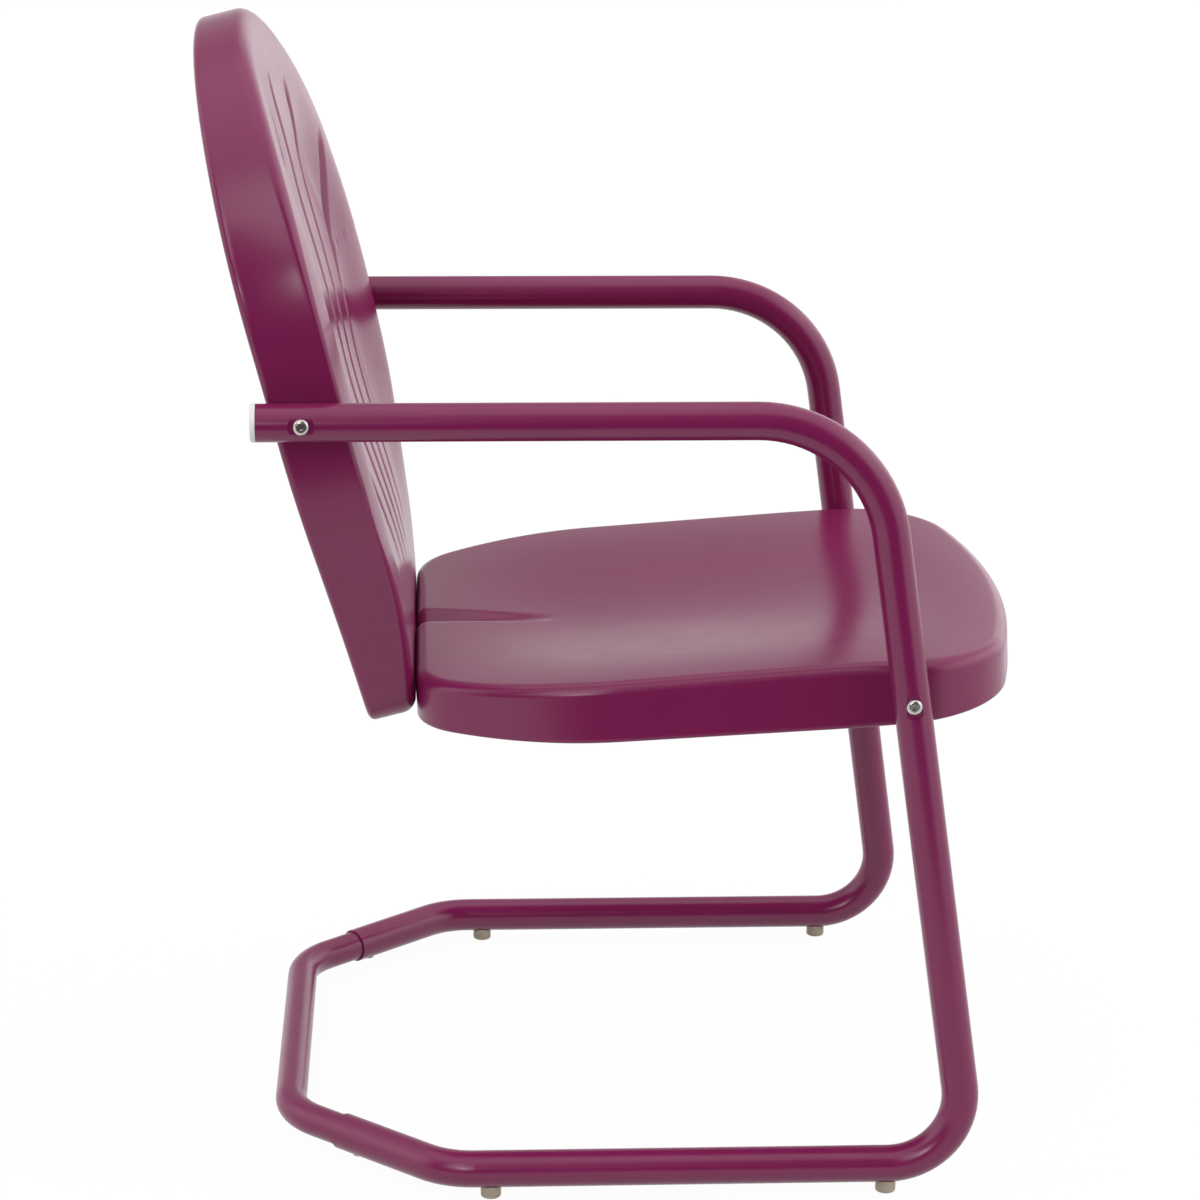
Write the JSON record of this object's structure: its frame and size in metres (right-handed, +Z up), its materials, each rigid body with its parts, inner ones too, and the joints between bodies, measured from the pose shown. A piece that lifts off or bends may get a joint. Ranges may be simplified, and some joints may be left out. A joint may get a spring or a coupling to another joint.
{
  "type": "steel armchair",
  "caption": "Retro outdoor armchair with pressed steel shell back and seat, hung on a cantilever frame of bent steel tube with plastic feet.",
  "frame": {"origin": "on the floor, under the middle of the chair's overall box", "axes": "+X forward the way the sitter faces, +Y to the sitter's left, +Z up"},
  "size_m": [0.6269, 0.544, 0.8623],
  "materials": {
    "plum_paint": "semi-gloss powder coat",
    "stainless": "bright",
    "zinc_plate": "dull plated",
    "cap_plastic": "satin white",
    "glide_plastic": "cloudy beige"
  },
  "bodies": {
    "root": {"right_side_tube": "plum_paint", "left_side_tube": "plum_paint", "rear_link_tube": "plum_paint", "seat_pan": "plum_paint", "back_shell": "plum_paint", "right_arm_bolt": "stainless", "right_seat_bolt": "stainless", "right_rear_bolt": "stainless", "left_arm_bolt": "stainless", "left_seat_bolt": "stainless", "left_rear_bolt": "stainless", "right_joint_screw": "stainless", "left_joint_screw": "stainless", "right_arm_nut": "zinc_plate", "right_seat_nut": "zinc_plate", "right_rear_nut": "zinc_plate", "left_arm_nut": "zinc_plate", "left_seat_nut": "zinc_plate", "left_rear_nut": "zinc_plate", "right_arm_washer": "zinc_plate", "right_seat_washer": "zinc_plate", "right_rear_washer": "zinc_plate", "right_skirt_washer": "zinc_plate", "left_arm_washer": "zinc_plate", "left_seat_washer": "zinc_plate", "left_rear_washer": "zinc_plate", "left_skirt_washer": "zinc_plate", "right_arm_cap": "cap_plastic", "left_arm_cap": "cap_plastic", "right_front_foot": "glide_plastic", "right_rear_foot": "glide_plastic", "left_front_foot": "glide_plastic", "left_rear_foot": "glide_plastic"}
  },
  "joints": []
}
